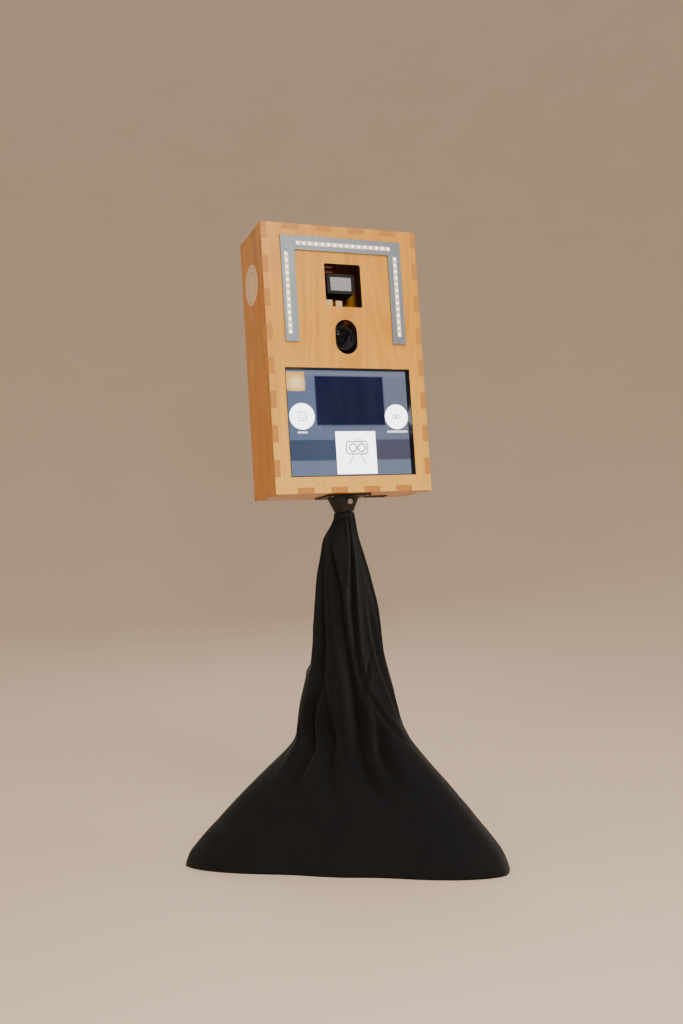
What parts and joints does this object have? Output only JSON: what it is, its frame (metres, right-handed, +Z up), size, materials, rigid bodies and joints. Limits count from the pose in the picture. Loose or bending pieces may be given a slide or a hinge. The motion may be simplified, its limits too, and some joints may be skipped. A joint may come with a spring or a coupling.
{
  "type": "photo booth",
  "caption": "Plywood cabinet photo booth with a touch screen, camera, flash and light frame, on a height-adjustable tripod stand under a cloth cover.",
  "frame": {"origin": "on the floor, on the axis of the mast", "axes": "+Z up along the mast, the booth's front faces -Y, +X to the right seen from the front"},
  "size_m": [0.7612, 0.7913, 1.577],
  "materials": {
    "plywood": "oiled birch plywood, satin",
    "raw_plywood": "unfinished plywood",
    "anodised_aluminium": "brushed and anodised, satin",
    "light_tape": "white flexible circuit",
    "light_chip": "white diode under clear silicone",
    "zinc_steel": "zinc plated",
    "badge_print": "satin printed disc",
    "black_plastic": "moulded, fine texture",
    "clear_glass": "polished",
    "screen_image": "lit screen",
    "grey_steel": "powder coated",
    "camera_plastic": "fine textured",
    "ribbed_rubber": "ribbed",
    "coated_glass": "multi-coated",
    "bright_metal": "polished nickel",
    "fresnel_window": "ribbed clear plastic over a silver reflector",
    "pc_case": "anodised dark grey",
    "driver_case": "white case",
    "red_plastic": "translucent red",
    "black_steel": "black powder coat",
    "knob_plastic": "moulded",
    "black_cloth": "smooth knit with a soft sheen",
    "tie_cloth": "woven band",
    "foot_rubber": "moulded"
  },
  "bodies": {
    "stand": {"mast_outer": "black_steel", "mast_clamp": "black_plastic", "lower_collar": "black_plastic", "collar_pins": "zinc_steel", "cloth_cover": "black_cloth", "neck_tie": "tie_cloth"},
    "mast": {"mast_inner": "black_steel"},
    "door": {"rear_door": "plywood", "hinge_leaves_door": "zinc_steel", "door_screws": "zinc_steel", "lock_barrel": "bright_metal"},
    "lock": {"lock_cam": "zinc_steel"},
    "mast_knob": {"mast_clamp_knob": "knob_plastic"},
    "socket_screw": {"socket_clamp_screw": "bright_metal"},
    "hub": {"leg_hub": "black_plastic", "hub_pins": "zinc_steel"},
    "leg_knob": {"hub_knob": "knob_plastic"},
    "zoom": {"zoom_ring": "ribbed_rubber"},
    "flash": {"flash_head": "camera_plastic", "flash_window": "fresnel_window"},
    "rocker": {"power_rocker": "red_plastic"},
    "shutter": {"shutter_button": "bright_metal"},
    "leg_1": {"leg_1": "black_steel", "foot_1": "foot_rubber"},
    "brace_1": {"brace_1": "black_steel"},
    "leg_2": {"leg_2": "black_steel", "foot_2": "foot_rubber"},
    "brace_2": {"brace_2": "black_steel"},
    "leg_3": {"leg_3": "black_steel", "foot_3": "foot_rubber"},
    "brace_3": {"brace_3": "black_steel"},
    "booth": {"bottom_panel": "plywood", "camera_body": "camera_plastic", "camera_lens": "camera_plastic", "camera_screw": "zinc_steel", "camera_shelf": "raw_plywood", "case_screws": "zinc_steel", "flash_body": "camera_plastic", "front_panel": "plywood", "hinge_leaves_fixed": "zinc_steel", "lcd_panel": "screen_image", "lens_glass": "coated_glass", "light_bar_left": "anodised_aluminium", "light_bar_right": "anodised_aluminium", "light_bar_top": "anodised_aluminium", "light_chips": "light_chip", "light_driver": "driver_case", "light_tapes": "light_tape", "lock_keeper": "zinc_steel", "mini_pc": "pc_case", "monitor_chassis": "grey_steel", "pole_socket": "black_steel", "power_inlet": "black_plastic", "screen_bezel": "black_plastic", "side_badge": "badge_print", "side_panel_left": "plywood", "side_panel_right": "plywood", "top_panel": "plywood", "touch_glass": "clear_glass", "window_blocks": "raw_plywood"}
  },
  "joints": [
    {"name": "height_slide", "type": "slide", "parent": "stand", "child": "mast", "axis": [0, 0, 1], "range_m": [0, 0.5]},
    {"name": "box_swivel", "type": "hinge", "parent": "mast", "child": "booth", "pos_m": [0, 0, 0.892], "axis": [0, 0, 1], "continuous": true},
    {"name": "door_hinge", "type": "hinge", "parent": "booth", "child": "door", "pos_m": [-0.1971, 0.0965, 1.2345], "axis": [0, 0, 1], "range_deg": [0, 110]},
    {"name": "lock_turn", "type": "hinge", "parent": "door", "child": "lock", "pos_m": [0.1715, 0.078, 1.1645], "axis": [0, 1, 0], "range_deg": [0, 90]},
    {"name": "mast_knob_turn", "type": "hinge", "parent": "stand", "child": "mast_knob", "pos_m": [0, 0, 0.768], "axis": [-0.9298, 0.3681, 0], "range_deg": [0, 270]},
    {"name": "socket_screw_turn", "type": "hinge", "parent": "booth", "child": "socket_screw", "pos_m": [0, -0.04, 0.873], "axis": [0, -1, 0], "range_deg": [0, 270]},
    {"name": "leg_fold", "type": "hinge", "parent": "stand", "child": "brace_1", "pos_m": [-0.03753, 0.00594, 0.10773], "axis": [0.1564, 0.9877, 0], "range_deg": [0, 43]},
    {"name": "leg_1_turn", "type": "hinge", "parent": "brace_1", "child": "leg_1", "pos_m": [-0.17699, 0.02803, 0.23486], "axis": [-0.1564, -0.9877, 0], "range_deg": [0, 86]},
    {"name": "brace_2_turn", "type": "hinge", "parent": "stand", "child": "brace_2", "pos_m": [0.01362, -0.03548, 0.10773], "axis": [-0.9336, -0.3584, 0], "range_deg": [0, 43]},
    {"name": "leg_2_turn", "type": "hinge", "parent": "brace_2", "child": "leg_2", "pos_m": [0.06422, -0.16729, 0.23486], "axis": [0.9336, 0.3584, 0], "range_deg": [0, 86]},
    {"name": "brace_3_turn", "type": "hinge", "parent": "stand", "child": "brace_3", "pos_m": [0.02391, 0.02953, 0.10773], "axis": [0.7771, -0.6293, 0], "range_deg": [0, 43]},
    {"name": "leg_3_turn", "type": "hinge", "parent": "brace_3", "child": "leg_3", "pos_m": [0.11277, 0.13926, 0.23486], "axis": [-0.7771, 0.6293, 0], "range_deg": [0, 86]},
    {"name": "hub_turn", "type": "hinge", "parent": "leg_1", "child": "hub", "pos_m": [-0.03753, 0.00594, 0.362], "axis": [0.1564, 0.9877, 0], "range_deg": [0, 43]},
    {"name": "leg_knob_turn", "type": "hinge", "parent": "hub", "child": "leg_knob", "pos_m": [0, 0, 0.414], "axis": [-0.9298, 0.3681, 0], "range_deg": [0, 270]},
    {"name": "zoom_turn", "type": "hinge", "parent": "booth", "child": "zoom", "pos_m": [0, -0.037, 1.292], "axis": [0, -1, 0], "range_deg": [0, 75]},
    {"name": "flash_tilt", "type": "hinge", "parent": "booth", "child": "flash", "pos_m": [0.003, 0.012, 1.422], "axis": [-1, 0, 0], "range_deg": [0, 90]},
    {"name": "rocker_tilt", "type": "hinge", "parent": "booth", "child": "rocker", "pos_m": [0.1255, 0.04, 0.8935], "axis": [-1, 0, 0], "range_deg": [0, 24]},
    {"name": "shutter_press", "type": "slide", "parent": "booth", "child": "shutter", "axis": [0, 0, -1], "range_m": [0, 0.0015], "stiffness_N_per_m": 800, "springref_m": -0.001}
  ],
  "couplings": [
    {"joint": "leg_1_turn", "follows": "leg_fold", "ratio": 2},
    {"joint": "brace_2_turn", "follows": "leg_fold", "ratio": 1},
    {"joint": "leg_2_turn", "follows": "leg_fold", "ratio": 2},
    {"joint": "brace_3_turn", "follows": "leg_fold", "ratio": 1},
    {"joint": "leg_3_turn", "follows": "leg_fold", "ratio": 2},
    {"joint": "hub_turn", "follows": "leg_fold", "ratio": 1}
  ]
}
